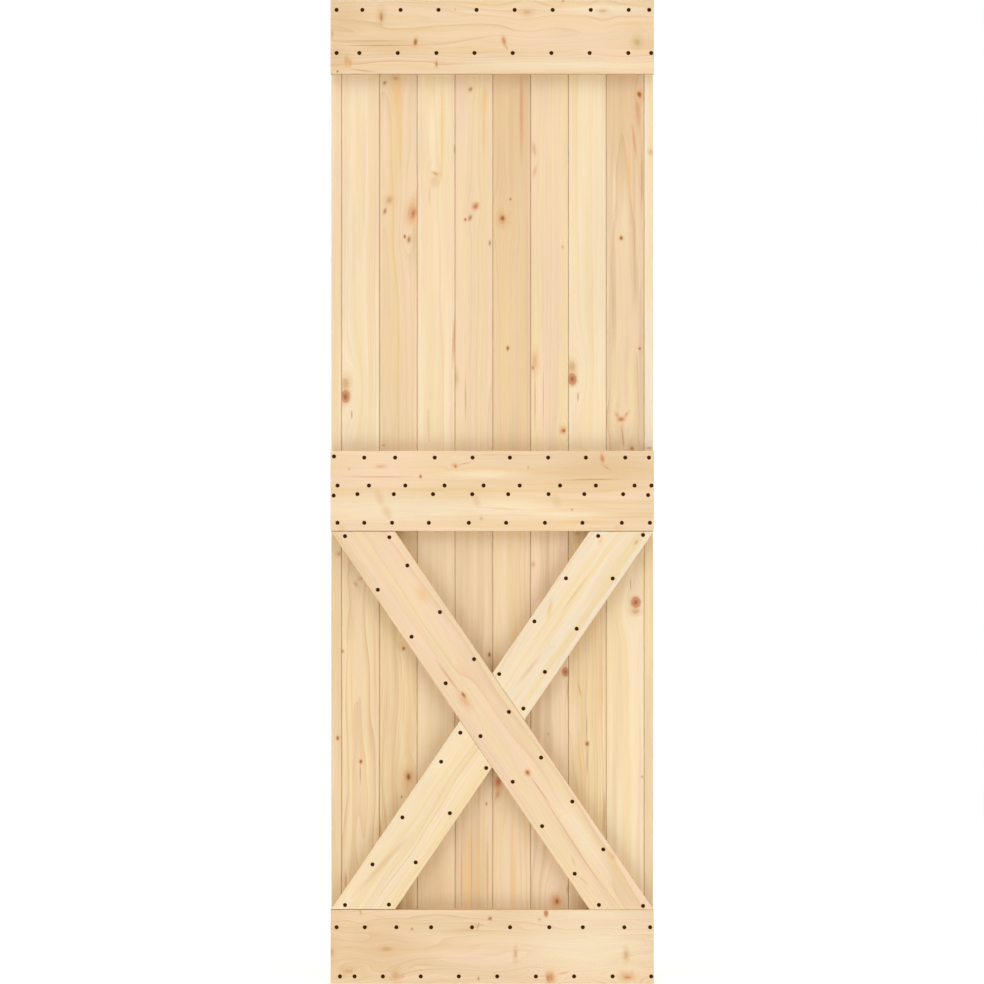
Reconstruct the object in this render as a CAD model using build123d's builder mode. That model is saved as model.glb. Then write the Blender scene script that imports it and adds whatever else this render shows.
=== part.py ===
from build123d import *
from dataclasses import dataclass
import math
import os

# Boarded barn-door leaf: two tiers of tongued-and-grooved boards, three rails on their front
# and, in the lower bay, a through brace with two half braces butted against it.
# Millimetres, +Z up. The rails face -Y, the plain back of the boards faces +Y, and the origin
# is the middle of the leaf's bottom edge.

# Leaf
leaf_height = 2100.0
frame_width = 690.0
frame_thickness = 25.0
board_thickness = 15.0
rail_overhang = 1.0

# Boards
board_pitch = 80.85
first_strip_width = 22.0
least_strip_width = 12.0
board_gap = 0.8
board_end_gap = 0.5
tongue_length = 5.0
tongue_thickness = 5.0
tongue_fit = 0.15
front_bevel = 1.0
back_bevel = 0.5

# Rails
top_rail_height = 157.5
middle_rail_bottom = 966.8
middle_rail_height = 171.3
bottom_rail_height = 158.5
board_joint_rise = 88.2
frame_edge_radius = 1.2

# Braces
brace_width = 113.0
joint_gap = 0.3
top_joint_gap = 1.0

# Countersunk wood screws
screw_length = 35.0
thread_radius = 2.25
head_radius = 4.35
head_angle = 90.0
head_rim = 0.3
head_sink = 0.2
tip_length = 3.5
drive_span = 5.0
drive_slot_width = 1.1
drive_depth = 1.5
drive_turn_step = 37.0
shank_clearance = 0.25
head_clearance = 0.1
pilot_spare_depth = 0.5

# How far each row of rail screws lies from the edge or the board joint that it follows
leaf_top_to_row = 21.1
top_rail_bottom_to_row = 44.4
middle_rail_top_to_row = 14.7
board_joint_to_row_above = 8.8
board_joint_to_row_below = 9.6
middle_rail_bottom_to_row = 17.5
bottom_rail_top_to_row = 37.4
leaf_bottom_to_row = 16.2

# How far each pilot hole stays clear of the tongues and of the boards' edges
pilot_margin = 0.2

# Places worked out from the sizes above
leaf_thickness = frame_thickness + board_thickness
front_y = -leaf_thickness / 2
joint_y = front_y + frame_thickness
board_middle_y = joint_y + board_thickness / 2
frame_right = frame_width / 2
panel_width = frame_width - 2 * rail_overhang
panel_left = -panel_width / 2
panel_right = panel_width / 2
board_joint_z = middle_rail_bottom + board_joint_rise
top_rail_bottom = leaf_height - top_rail_height
middle_rail_top = middle_rail_bottom + middle_rail_height
seat_y = front_y + head_sink + head_rim
board_count = int((panel_width - first_strip_width - least_strip_width) // board_pitch)
seams = [panel_left + first_strip_width + i * board_pitch for i in range(board_count + 1)]

# The brace's slope from the horizontal, at which both its edges run into the bay's corners
bay_height = middle_rail_bottom - bottom_rail_height
bay_middle_z = bottom_rail_height + bay_height / 2
brace_top = middle_rail_bottom - top_joint_gap
brace_bottom = bottom_rail_height + joint_gap
brace_slope = math.atan2(bay_height, frame_width) + math.asin(
    brace_width / math.hypot(frame_width, bay_height)
)

# Planes seen from the front, with X to the right and Z up
joint_plane = Plane.XZ.offset(-joint_y)
seat_plane = Plane.XZ.offset(-seat_y)


def clear_of_joints(x):
    """The nearest place to x at which a pilot hole bites in one board and misses its tongue."""
    spare = thread_radius + pilot_margin
    for seam in seams:
        first = seam - board_gap / 2 - spare
        last = seam + board_gap / 2 + tongue_length + spare
        if first < x < last:
            return first if x - first < last - x else last
    return x


@dataclass
class ScrewRow:
    """A row of rail screws at one height. Each screw lies at its share of the way across its
    own strip or board, from left to right. The two in the side strips may lie above the row,
    by their rise."""

    z: float
    left_strip_share: float
    board_shares: list
    right_strip_share: float
    left_strip_rise: float = 0.0
    right_strip_rise: float = 0.0

    def places(self):
        left = panel_left + self.left_strip_share * first_strip_width
        right = seams[-1] + self.right_strip_share * (panel_right - seams[-1])
        boards = [
            seams[i] + self.board_shares[i % len(self.board_shares)] * board_pitch
            for i in range(board_count)
        ]
        rises = [self.left_strip_rise] + [0.0] * board_count + [self.right_strip_rise]
        return [
            (clear_of_joints(x), self.z + rise)
            for x, rise in zip([left] + boards + [right], rises)
        ]


top_rail_rows = [
    ScrewRow(
        z=leaf_height - leaf_top_to_row,
        left_strip_share=0.54,
        board_shares=[0.555, 0.565, 0.565, 0.57, 0.575, 0.58, 0.585, 0.585],
        right_strip_share=0.53,
    ),
    ScrewRow(
        z=top_rail_bottom + top_rail_bottom_to_row,
        left_strip_share=0.54,
        board_shares=[0.475, 0.49, 0.51, 0.515, 0.525, 0.545, 0.555, 0.575],
        right_strip_share=0.76,
    ),
]
middle_rail_upper_rows = [
    ScrewRow(
        z=middle_rail_top - middle_rail_top_to_row,
        left_strip_share=0.29,
        board_shares=[0.605, 0.42, 0.465, 0.465, 0.45, 0.46, 0.455, 0.495],
        right_strip_share=0.51,
        left_strip_rise=2.5,
    ),
    ScrewRow(
        z=board_joint_z + board_joint_to_row_above,
        left_strip_share=0.63,
        board_shares=[0.73, 0.69, 0.725, 0.755, 0.71, 0.775, 0.72, 0.74],
        right_strip_share=0.78,
    ),
]
middle_rail_lower_rows = [
    ScrewRow(
        z=board_joint_z - board_joint_to_row_below,
        left_strip_share=0.26,
        board_shares=[0.425, 0.385, 0.42, 0.455, 0.405, 0.47, 0.415, 0.44],
        right_strip_share=0.39,
        left_strip_rise=-3.0,
        right_strip_rise=-1.9,
    ),
    ScrewRow(
        z=middle_rail_bottom + middle_rail_bottom_to_row,
        left_strip_share=0.63,
        board_shares=[0.605, 0.34, 0.31, 0.365, 0.35, 0.375, 0.365, 0.405],
        right_strip_share=0.61,
    ),
]
bottom_rail_rows = [
    ScrewRow(
        z=bottom_rail_height - bottom_rail_top_to_row,
        left_strip_share=0.54,
        board_shares=[0.62, 0.455, 0.37, 0.45, 0.455, 0.49, 0.375, 0.47],
        right_strip_share=0.64,
    ),
    ScrewRow(
        z=leaf_bottom_to_row,
        left_strip_share=0.87,
        board_shares=[0.35, 0.075, 0.095, 0.1, 0.115, 0.135, 0.145, 0.16],
        right_strip_share=0.76,
    ),
]


@dataclass
class ScrewLine:
    """A line of screws along one edge of a brace, looked along from the brace's outer end, which
    is its top end on the through brace. The hand is 1 on the left of that view and -1 on its
    right. Each screw has its share of the way along the line, and lies in from the brace's edge
    by its share of the brace's width."""

    hand: int
    shares_along: list
    shares_across: list

    def middle_share(self):
        return sum(self.shares_across) / len(self.shares_across)

    def offset(self):
        return self.hand * brace_width * (0.5 - self.middle_share())

    def places(self, start, end):
        outwards = Vector(start.Y - end.Y, end.X - start.X).normalized() * self.hand
        places = []
        for along, across in zip(self.shares_along, self.shares_across):
            drift = brace_width * (self.middle_share() - across)
            place = start + (end - start) * along + outwards * drift
            places.append((clear_of_joints(place.X), place.Y))
        return places


through_brace_lines = [
    ScrewLine(
        hand=1,
        shares_along=[0.015, 0.088, 0.212, 0.339, 0.477, 0.599, 0.714, 0.841, 0.992],
        shares_across=[0.15, 0.17, 0.16, 0.13, 0.15, 0.135, 0.15, 0.145, 0.125],
    ),
    ScrewLine(
        hand=-1,
        shares_along=[0.011, 0.152, 0.277, 0.403, 0.541, 0.663, 0.779, 0.905, 0.991],
        shares_across=[0.135, 0.125, 0.135, 0.17, 0.15, 0.165, 0.15, 0.15, 0.195],
    ),
]
upper_half_brace_lines = [
    ScrewLine(
        hand=1,
        shares_along=[0.011, 0.257, 0.537, 0.78, 0.972],
        shares_across=[0.095, 0.135, 0.16, 0.195, 0.14],
    ),
    ScrewLine(
        hand=-1,
        shares_along=[0.02, 0.316, 0.614, 0.966],
        shares_across=[0.185, 0.135, 0.1, 0.115],
    ),
]
lower_half_brace_lines = [
    ScrewLine(
        hand=1,
        shares_along=[0.026, 0.25, 0.503, 0.811, 0.969],
        shares_across=[0.165, 0.17, 0.135, 0.145, 0.135],
    ),
    ScrewLine(
        hand=-1,
        shares_along=[0.031, 0.309, 0.641, 0.962],
        shares_across=[0.145, 0.175, 0.17, 0.085],
    ),
]


def row_places(rows):
    """The places of all the screws in some rows, as (x, z)."""
    return [place for row in rows for place in row.places()]


def slope_point(offset, z):
    """Point at height z on a line parallel to the through brace, offset up and to the right."""
    x = offset / math.sin(brace_slope) - (z - bay_middle_z) / math.tan(brace_slope)
    return Vector(x, z)


def crossing_point(offset, cross_offset):
    """Where a line parallel to the through brace meets one of the other diagonal."""
    x = (offset - cross_offset) / (2 * math.sin(brace_slope))
    rise = (offset + cross_offset) / (2 * math.cos(brace_slope))
    return Vector(x, bay_middle_z + rise)


def mirrored(point):
    """The same point on the other diagonal of the bay."""
    return Vector(-point.X, point.Y)


def turned(point):
    """The point half a turn about the middle of the bay."""
    return Vector(-point.X, 2 * bay_middle_z - point.Y)


def through_line_ends(line):
    """The top and bottom ends of a line of screws in the through brace."""
    return slope_point(line.offset(), brace_top), slope_point(line.offset(), brace_bottom)


def half_line_ends(line):
    """The outer and inner ends of a line of screws in the upper half brace."""
    outer = mirrored(slope_point(-line.offset(), brace_top))
    return outer, crossing_point(brace_width / 2 + joint_gap, -line.offset())


def frame_piece(name, corners, screw_places):
    """A plank on the front of the boards, with rounded front edges and countersunk holes."""
    with BuildPart(seat_plane) as piece:
        with BuildSketch(joint_plane):
            with BuildLine():
                Polyline(*[(corner.X, corner.Y) for corner in corners], close=True)
            make_face()
        extrude(amount=frame_thickness)
        fillet(piece.faces().sort_by(Axis.Y)[0].edges(), frame_edge_radius)
        with Locations(*screw_places):
            CounterSinkHole(
                radius=thread_radius + shank_clearance,
                counter_sink_radius=head_radius + head_clearance,
                depth=frame_thickness,
                counter_sink_angle=head_angle,
            )
    piece.part.label = name
    export_step(piece.part, f"parts/{name}.step")


def rail(name, bottom, height, rows):
    """A rail across the whole width of the leaf."""
    top = bottom + height
    corners = [
        Vector(-frame_right, bottom),
        Vector(frame_right, bottom),
        Vector(frame_right, top),
        Vector(-frame_right, top),
    ]
    frame_piece(name, corners, row_places(rows))


def board(name, left, right, bottom, top, grooved, tongued, screw_places):
    """A board between two seams, with pilot holes for the screws whose threads reach it."""
    reach = right + (tongue_length if tongued else 0.0)
    with BuildPart(joint_plane) as piece:
        with BuildSketch(Plane.XY.offset(bottom)) as section:
            with Locations(((left + right) / 2, board_middle_y)):
                Rectangle(right - left, board_thickness)
            chamfer(section.vertices().group_by(Axis.Y)[0], front_bevel)
            chamfer(section.vertices().group_by(Axis.Y)[-1], back_bevel)
            if tongued:
                with Locations((right, board_middle_y)):
                    Rectangle(tongue_length, tongue_thickness, align=(Align.MIN, Align.CENTER))
            if grooved:
                with Locations((left, board_middle_y)):
                    Rectangle(
                        tongue_length,
                        tongue_thickness + 2 * tongue_fit,
                        align=(Align.MIN, Align.CENTER),
                        mode=Mode.SUBTRACT,
                    )
        extrude(amount=top - bottom)
        pilots = [
            (x, z)
            for x, z in screw_places
            if left - thread_radius < x < reach + thread_radius
            and bottom - thread_radius < z < top + thread_radius
        ]
        if pilots:
            with Locations(*pilots):
                Hole(radius=thread_radius, depth=pilot_depth)
    piece.part.label = name
    export_step(piece.part, f"parts/{name}.step")


def tier(level, bottom, top, screw_places):
    """One tier of boards with its side strips, from left to right."""
    half_gap = board_gap / 2
    left_strip = (panel_left, seams[0] - half_gap)
    right_strip = (seams[-1] + half_gap, panel_right)
    board(f"{level}_left_strip", *left_strip, bottom, top, False, True, screw_places)
    for i in range(board_count):
        edges = (seams[i] + half_gap, seams[i + 1] - half_gap)
        board(f"{level}_board_{i + 1}", *edges, bottom, top, True, True, screw_places)
    board(f"{level}_right_strip", *right_strip, bottom, top, True, False, screw_places)


def screw_group(name, places):
    """Screws driven at the given places, each with its cross slot left at its own turn."""
    with BuildPart(seat_plane) as group:
        turns = [
            Location((x, z, 0), (0, 0, drive_turn_step * i)) for i, (x, z) in enumerate(places)
        ]
        with Locations(*turns):
            add(screw.part)
    group.part.label = name
    export_step(group.part, f"parts/{name}.step")


# One screw, pointing down -Z, with its origin where the head's rim meets its cone
cone_height = (head_radius - thread_radius) / math.tan(math.radians(head_angle / 2))
tip_z = head_rim - screw_length
pilot_depth = (seat_y - tip_z) - joint_y + pilot_spare_depth
with BuildPart() as screw:
    with BuildSketch(Plane.XZ):
        with BuildLine():
            Polyline(
                (0, head_rim),
                (head_radius, head_rim),
                (head_radius, 0),
                (thread_radius, -cone_height),
                (thread_radius, tip_z + tip_length),
                (0, tip_z),
                close=True,
            )
        make_face()
    revolve(axis=Axis.Z)
    with BuildSketch(Plane.XY.offset(head_rim)):
        Rectangle(drive_span, drive_slot_width)
        Rectangle(drive_slot_width, drive_span)
    extrude(amount=-drive_depth, mode=Mode.SUBTRACT)

# Corners of the braces, as seen from the front
half_width = brace_width / 2
through_corners = [
    slope_point(-half_width, brace_bottom),
    slope_point(half_width, brace_bottom),
    slope_point(half_width, brace_top),
    slope_point(-half_width, brace_top),
]
upper_half_corners = [
    crossing_point(half_width + joint_gap, -half_width),
    mirrored(slope_point(-half_width, brace_top)),
    mirrored(slope_point(half_width, brace_top)),
    crossing_point(half_width + joint_gap, half_width),
]
lower_half_corners = [turned(corner) for corner in upper_half_corners]

# Every screw, by the piece that its head lies in
through_places = []
for line in through_brace_lines:
    through_places += line.places(*through_line_ends(line))
upper_half_places = []
for line in upper_half_brace_lines:
    upper_half_places += line.places(*half_line_ends(line))
lower_half_places = []
for line in lower_half_brace_lines:
    lower_half_places += line.places(*map(turned, half_line_ends(line)))
screw_groups = {
    "top_rail_screws": row_places(top_rail_rows),
    "middle_rail_upper_screws": row_places(middle_rail_upper_rows),
    "middle_rail_lower_screws": row_places(middle_rail_lower_rows),
    "bottom_rail_screws": row_places(bottom_rail_rows),
    "through_brace_screws": through_places,
    "upper_half_brace_screws": upper_half_places,
    "lower_half_brace_screws": lower_half_places,
}
all_screw_places = [place for places in screw_groups.values() for place in places]

os.makedirs("parts", exist_ok=True)

rail("top_rail", top_rail_bottom, top_rail_height, top_rail_rows)
rail(
    "middle_rail",
    middle_rail_bottom,
    middle_rail_height,
    middle_rail_upper_rows + middle_rail_lower_rows,
)
rail("bottom_rail", 0.0, bottom_rail_height, bottom_rail_rows)
frame_piece("through_brace", through_corners, through_places)
frame_piece("upper_half_brace", upper_half_corners, upper_half_places)
frame_piece("lower_half_brace", lower_half_corners, lower_half_places)
tier("lower", 0.0, board_joint_z - board_end_gap / 2, all_screw_places)
tier("upper", board_joint_z + board_end_gap / 2, leaf_height, all_screw_places)
for name, places in screw_groups.items():
    screw_group(name, places)
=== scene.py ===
"""Dresses the boarded pine leaf of a sliding barn door and sets up its plain studio.

The planks and screws are the frame's own pieces and keep their meshes. This script gives each
plank a pine finish of its own, cut from its own place in the log, with its knots, resin lines and
tinted stripes, and gives the screws a dark oxide finish. The tan stripes just above the bottom
rail and the dark tint of the planks' narrow faces are partly painted shade.
"""

from __future__ import annotations

import logging
import math
from collections.abc import Iterable
from dataclasses import dataclass
from enum import Enum
from functools import reduce

import bmesh
import bpy
from mathutils import Matrix, Vector


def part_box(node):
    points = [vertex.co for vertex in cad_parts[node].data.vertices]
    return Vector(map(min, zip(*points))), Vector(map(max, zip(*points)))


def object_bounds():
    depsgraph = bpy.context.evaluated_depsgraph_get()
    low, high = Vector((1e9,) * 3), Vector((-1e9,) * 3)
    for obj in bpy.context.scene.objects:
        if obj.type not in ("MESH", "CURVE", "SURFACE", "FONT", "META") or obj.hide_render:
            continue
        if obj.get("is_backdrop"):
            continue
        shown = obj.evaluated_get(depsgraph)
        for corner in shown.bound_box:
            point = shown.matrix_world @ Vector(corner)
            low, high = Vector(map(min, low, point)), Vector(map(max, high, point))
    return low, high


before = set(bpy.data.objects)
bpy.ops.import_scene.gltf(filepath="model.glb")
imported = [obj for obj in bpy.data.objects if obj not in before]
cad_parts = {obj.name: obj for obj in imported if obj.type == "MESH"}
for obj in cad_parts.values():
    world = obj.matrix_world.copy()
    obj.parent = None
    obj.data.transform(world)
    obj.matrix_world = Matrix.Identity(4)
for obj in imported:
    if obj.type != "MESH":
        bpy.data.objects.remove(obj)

LOG = logging.getLogger("barn_door_leaf")

Colour = tuple[float, float, float, float]
Socket = bpy.types.NodeSocket
Material = bpy.types.Material

WHITE: Colour = (1.0, 1.0, 1.0, 1.0)

# How far apart the noise of two planks lies along each axis, in its own units.
SEED_STEP = Vector((3.71, 5.13, 1.97))

# Angles of the grain above the horizontal, in degrees.
UPRIGHT = 90.0
LEVEL = 0.0
BRACE_SLOPE = 55.64


def srgb(red: int, green: int, blue: int) -> Colour:
    """Turns a display colour into the linear colour that a shader takes.

    Args:
        red: Its red, from 0 to 255.
        green: Its green.
        blue: Its blue.

    Returns:
        The linear colour, opaque.
    """

    def linear(channel: int) -> float:
        """One channel of 0 to 255 as linear light of 0 to 1."""
        share = channel / 255
        return share / 12.92 if share <= 0.04045 else ((share + 0.055) / 1.055) ** 2.4

    return linear(red), linear(green), linear(blue), 1.0


@dataclass(frozen=True)
class PhotoFrame:
    """The photograph's frame of 984 by 984 pixels, laid on the leaf's front.

    Attributes:
        side: Width and height of the picture, in pixels.
        axis: Where the leaf's middle lies across the picture, in pixels.
        centre: Where a pixel's middle lies after its own number, in pixels.
        leaf_height: Height of the leaf, which fills the picture, in metres.
    """

    side: float = 984.0
    axis: float = 492.2
    centre: float = 0.5
    leaf_height: float = 2.1

    @property
    def pixel(self) -> float:
        """The width of one pixel on the leaf's front, in metres."""
        return self.leaf_height / self.side

    def place(self, x: float, y: float) -> Vector:
        """The point of the leaf's middle plane that the middle of a pixel shows.

        Args:
            x: Number of the pixel's column.
            y: Number of the pixel's row, counted from the top.

        Returns:
            The point, in metres.
        """
        across = x + self.centre - self.axis
        up = self.side - self.centre - y
        return Vector((across * self.pixel, 0.0, up * self.pixel))


PHOTO = PhotoFrame()


@dataclass(frozen=True)
class Signal:
    """A node output that holds one number for each point. Arithmetic on it adds Math nodes."""

    graph: NodeGraph
    socket: Socket

    def __add__(self, other: Signal | float) -> Signal:
        """The sum."""
        return self.graph.math("ADD", self, other)

    __radd__ = __add__

    def __sub__(self, other: Signal | float) -> Signal:
        """The difference."""
        return self.graph.math("SUBTRACT", self, other)

    def __rsub__(self, other: float) -> Signal:
        """A number less this signal."""
        return self.graph.math("SUBTRACT", other, self)

    def __mul__(self, other: Signal | float) -> Signal:
        """The product."""
        return self.graph.math("MULTIPLY", self, other)

    __rmul__ = __mul__

    def __pow__(self, power: float) -> Signal:
        """The signal raised to a power."""
        return self.graph.math("POWER", self, power)


class NodeGraph:
    """A node tree that is being built."""

    def __init__(self, tree: bpy.types.NodeTree) -> None:
        """Empties the tree of a material or a world."""
        self.tree = tree
        self.tree.nodes.clear()

    def node(
        self, kind: str, settings: dict | None = None, sockets: dict | None = None
    ) -> bpy.types.Node:
        """Adds one node.

        Args:
            kind: The node's type.
            settings: Its own settings, which are set first.
            sockets: A value, signal or output for each input, by name or number.

        Returns:
            The node.
        """
        made = self.tree.nodes.new(kind)
        for name, value in (settings or {}).items():
            setattr(made, name, value)
        for name, value in (sockets or {}).items():
            if isinstance(value, Signal):
                value = value.socket
            if isinstance(value, Socket):
                self.tree.links.new(value, made.inputs[name])
            else:
                made.inputs[name].default_value = value
        return made

    def math(self, operation: str, *values: Signal | float) -> Signal:
        """Adds a Math node that works on one to three values, and gives its result."""
        made = self.node("ShaderNodeMath", {"operation": operation}, dict(enumerate(values)))
        return Signal(self, made.outputs[0])

    def vector(self, operation: str, *values: object) -> Socket:
        """Adds a Vector Math node that gives a vector. It takes up to three inputs."""
        made = self.node("ShaderNodeVectorMath", {"operation": operation}, dict(enumerate(values)))
        return made.outputs["Vector"]

    def length(self, vector: Socket) -> Signal:
        """The length of a vector."""
        made = self.node("ShaderNodeVectorMath", {"operation": "LENGTH"}, {0: vector})
        return Signal(self, made.outputs["Value"])

    def axis(self, vector: Socket, name: str) -> Signal:
        """The X, Y or Z of a vector."""
        return Signal(self, self.node("ShaderNodeSeparateXYZ", None, {0: vector}).outputs[name])

    def scaled(self, place: Socket, grain: float) -> Socket:
        """Coordinates in units of a grain's size, which is in metres."""
        return self.vector("MULTIPLY", place, (1 / grain, 1 / grain, 1 / grain))

    def from_middle(
        self, place: Socket, middle: Vector, size: tuple[float, float, float], lean: float = 0.0
    ) -> Socket:
        """Coordinates counted from a middle, in units of a size.

        Args:
            place: The coordinates.
            middle: The point that becomes 0.
            size: What becomes 1 along each axis.
            lean: How far the axes are turned about Y, in degrees.

        Returns:
            The new coordinates.
        """
        turn = (0.0, -math.radians(lean), 0.0)
        sockets = {"Vector": place, "Location": middle, "Rotation": turn, "Scale": size}
        return self.node("ShaderNodeMapping", {"vector_type": "TEXTURE"}, sockets).outputs[0]

    def fade(self, value: Signal, start: float, end: float, top: float = 1.0) -> Signal:
        """A smooth step from 0 where the value is at start to top where it is at end.

        Args:
            value: The signal that is followed.
            start: Its value where the step gives 0.
            end: Its value where the step gives top, above or below start.
            top: What the step ends at.

        Returns:
            The step.
        """
        sockets = {"Value": value, "From Min": start, "From Max": end, "To Max": top}
        made = self.node("ShaderNodeMapRange", {"interpolation_type": "SMOOTHSTEP"}, sockets)
        return Signal(self, made.outputs[0])

    def blend(
        self, under: object, over: object, share: Signal | float, mode: str = "MIX"
    ) -> Socket:
        """Lays one colour over another, by a share of 0 to 1 and in a Mix node's own mode."""
        settings = {"data_type": "RGBA", "blend_type": mode}
        return self.node("ShaderNodeMix", settings, {0: share, 6: under, 7: over}).outputs[2]

    def noise(self, vector: Socket, detail: float = 2.0) -> Signal:
        """Soft noise of scale 1 about a mean of a half, with so many finer layers."""
        sockets = {"Vector": vector, "Scale": 1.0, "Detail": detail}
        return Signal(self, self.node("ShaderNodeTexNoise", None, sockets).outputs["Fac"])

    def seen(self) -> Signal:
        """Tells the rays that are seen from those that only light.

        Returns:
            1 for rays that are seen straight, mirrored or through glass, and 0 for the others.
        """
        rays = self.node("ShaderNodeLightPath").outputs
        kinds = ("Is Camera Ray", "Is Glossy Ray", "Is Transmission Ray")
        signals = [Signal(self, rays[kind]) for kind in kinds]
        return reduce(lambda one, two: self.math("MAXIMUM", one, two), signals)


class FinishGraph(NodeGraph):
    """The node tree of one finish."""

    def __init__(self, name: str) -> None:
        """Starts an empty material.

        Args:
            name: The material's name.
        """
        self.material = bpy.data.materials.new(name)
        self.material.use_nodes = True
        super().__init__(self.material.node_tree)

    def close(self, shader: bpy.types.Node) -> Material:
        """Joins the surface shader to the output, and gives the finished material."""
        self.node("ShaderNodeOutputMaterial", None, {"Surface": shader.outputs[0]})
        return self.material

    def close_with_relief(
        self, height: Signal, depth: float, strength: float, sockets: dict
    ) -> Material:
        """Adds the surface shader with its relief, and joins it to the output.

        Args:
            height: The relief, from 0 to 1.
            depth: The height that 1 stands for, in metres.
            strength: How strongly the relief shows.
            sockets: The shader's other inputs.

        Returns:
            The finished material.
        """
        relief = {"Strength": strength, "Distance": depth, "Height": height}
        normal = self.node("ShaderNodeBump", None, relief).outputs[0]
        return self.close(
            self.node("ShaderNodeBsdfPrincipled", None, {**sockets, "Normal": normal})
        )


@dataclass(frozen=True)
class Band:
    """One colour zone of a mark. Distances are from its middle, in units of its half size.

    Attributes:
        outer: Where the zone begins to show.
        inner: Where it shows in full.
        strength: The share of its colour that shows there.
        colour: The zone's colour.
    """

    outer: float
    inner: float
    strength: float
    colour: Colour


class MarkKind(Enum):
    """What a mark in the wood is. The value holds its zones, the outermost first."""

    PINK_STRIPE = (Band(1.25, 0.2, 0.7, srgb(247, 216, 183)),)
    CREAM_STRIPE = (Band(1.25, 0.2, 0.8, srgb(250, 230, 194)),)
    STRAW_STRIPE = (Band(1.25, 0.2, 0.7, srgb(244, 220, 170)),)
    # Mostly the wood's own tan; the stripes just above the bottom rail are painted shade.
    TAN_STRIPE = (Band(1.25, 0.2, 0.6, srgb(228, 190, 143)),)
    ORANGE_STRIPE = (Band(1.3, 0.1, 0.7, srgb(240, 194, 132)),)
    RED_STREAK = (Band(1.4, 0.1, 0.8, srgb(220, 160, 116)),)
    BROWN_LINE = (Band(1.5, 0.2, 0.75, srgb(188, 142, 98)),)
    PINK_KNOT = (
        Band(1.8, 0.6, 0.55, srgb(236, 194, 148)),
        Band(1.0, 0.2, 0.65, srgb(226, 172, 130)),
    )
    TAN_KNOT = (
        Band(1.9, 0.5, 0.55, srgb(228, 186, 136)),
        Band(0.9, 0.2, 0.65, srgb(204, 156, 104)),
    )
    ROSE_KNOT = (
        Band(2.0, 0.8, 0.6, srgb(236, 188, 138)),
        Band(1.25, 0.4, 0.9, srgb(218, 150, 108)),
        Band(0.6, 0.1, 0.65, srgb(182, 112, 72)),
    )
    BROWN_KNOT = (
        Band(2.4, 0.8, 0.5, srgb(232, 182, 124)),
        Band(1.35, 0.5, 0.9, srgb(184, 122, 68)),
        Band(0.75, 0.15, 0.75, srgb(138, 84, 38)),
    )
    DARK_KNOT = (
        Band(2.3, 0.8, 0.45, srgb(226, 180, 130)),
        Band(1.3, 0.4, 0.8, srgb(188, 136, 88)),
        Band(0.6, 0.1, 0.45, srgb(140, 94, 54)),
    )
    RED_KNOT = (
        Band(1.8, 1.0, 0.5, srgb(228, 184, 134)),
        Band(1.2, 0.8, 0.8, srgb(190, 130, 86)),
        Band(0.9, 0.55, 0.75, srgb(214, 142, 102)),
        Band(0.65, 0.15, 0.85, srgb(158, 96, 54)),
    )

    def at(self, x: float, y: float, wide: float, tall: float, turn: float = 0.0) -> Mark:
        """A mark of this kind. It takes what Mark takes."""
        return Mark(self, x, y, wide, tall, turn)


# The knots that push the grain aside.
HARD_KNOTS = (
    MarkKind.TAN_KNOT,
    MarkKind.ROSE_KNOT,
    MarkKind.BROWN_KNOT,
    MarkKind.DARK_KNOT,
    MarkKind.RED_KNOT,
)


@dataclass(frozen=True)
class Mark:
    """A knot, streak, line or tinted stripe at its place in the photograph.

    Attributes:
        kind: What it is.
        x: Column of its middle, in pixels.
        y: Row of its middle, in pixels.
        wide: Its width across the picture, in pixels.
        tall: Its height, in pixels.
        turn: How far it leans to the left of upright, in degrees.
    """

    kind: MarkKind
    x: float
    y: float
    wide: float
    tall: float
    turn: float = 0.0


class PineTone(Enum):
    """The tints of fresh planed pine."""

    IVORY = srgb(246, 228, 202)
    CREAM = srgb(248, 226, 189)
    STRAW = srgb(245, 219, 171)
    PEACH = srgb(246, 214, 180)
    SAND = srgb(241, 212, 173)
    HONEY = srgb(240, 208, 158)
    WHEAT = srgb(236, 207, 163)
    ROSE = srgb(236, 199, 166)
    FAWN = srgb(228, 196, 158)
    TAN = srgb(229, 193, 145)


@dataclass(frozen=True)
class LogCut:
    """Where in its log a plank was cut, and how the grain runs.

    Attributes:
        pith_across: Distance of the log's pith from the plank's middle line, in metres.
        pith_depth: Distance of the pith behind the plank's middle plane, in metres.
        ring_width: Width of a year ring, in metres.
        taper: How fast the rings run out of the face along the plank.
        wave: How far the rings wander to each side, in metres.
        ring_share: How dark the late wood of a ring shows, from 0 to 1.
    """

    pith_across: float = 0.15
    pith_depth: float = 0.02
    ring_width: float = 0.0045
    taper: float = 0.004
    wave: float = 0.003
    ring_share: float = 0.32


@dataclass(frozen=True)
class Plank:
    """One plank of the leaf: its node, its tints, its cut and its marks.

    Attributes:
        node: Name of the CAD node.
        ground: The tint of most of the plank.
        shade: The tint of its darker stripes.
        flush: The tint of its warmer stripes.
        seed: Picks the noise that only this plank has.
        cut: Where it comes from in the log.
        marks: Its knots, streaks and stripes.
    """

    node: str
    ground: PineTone
    shade: PineTone
    flush: PineTone
    seed: int
    cut: LogCut = LogCut()
    marks: tuple[Mark, ...] = ()


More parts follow.
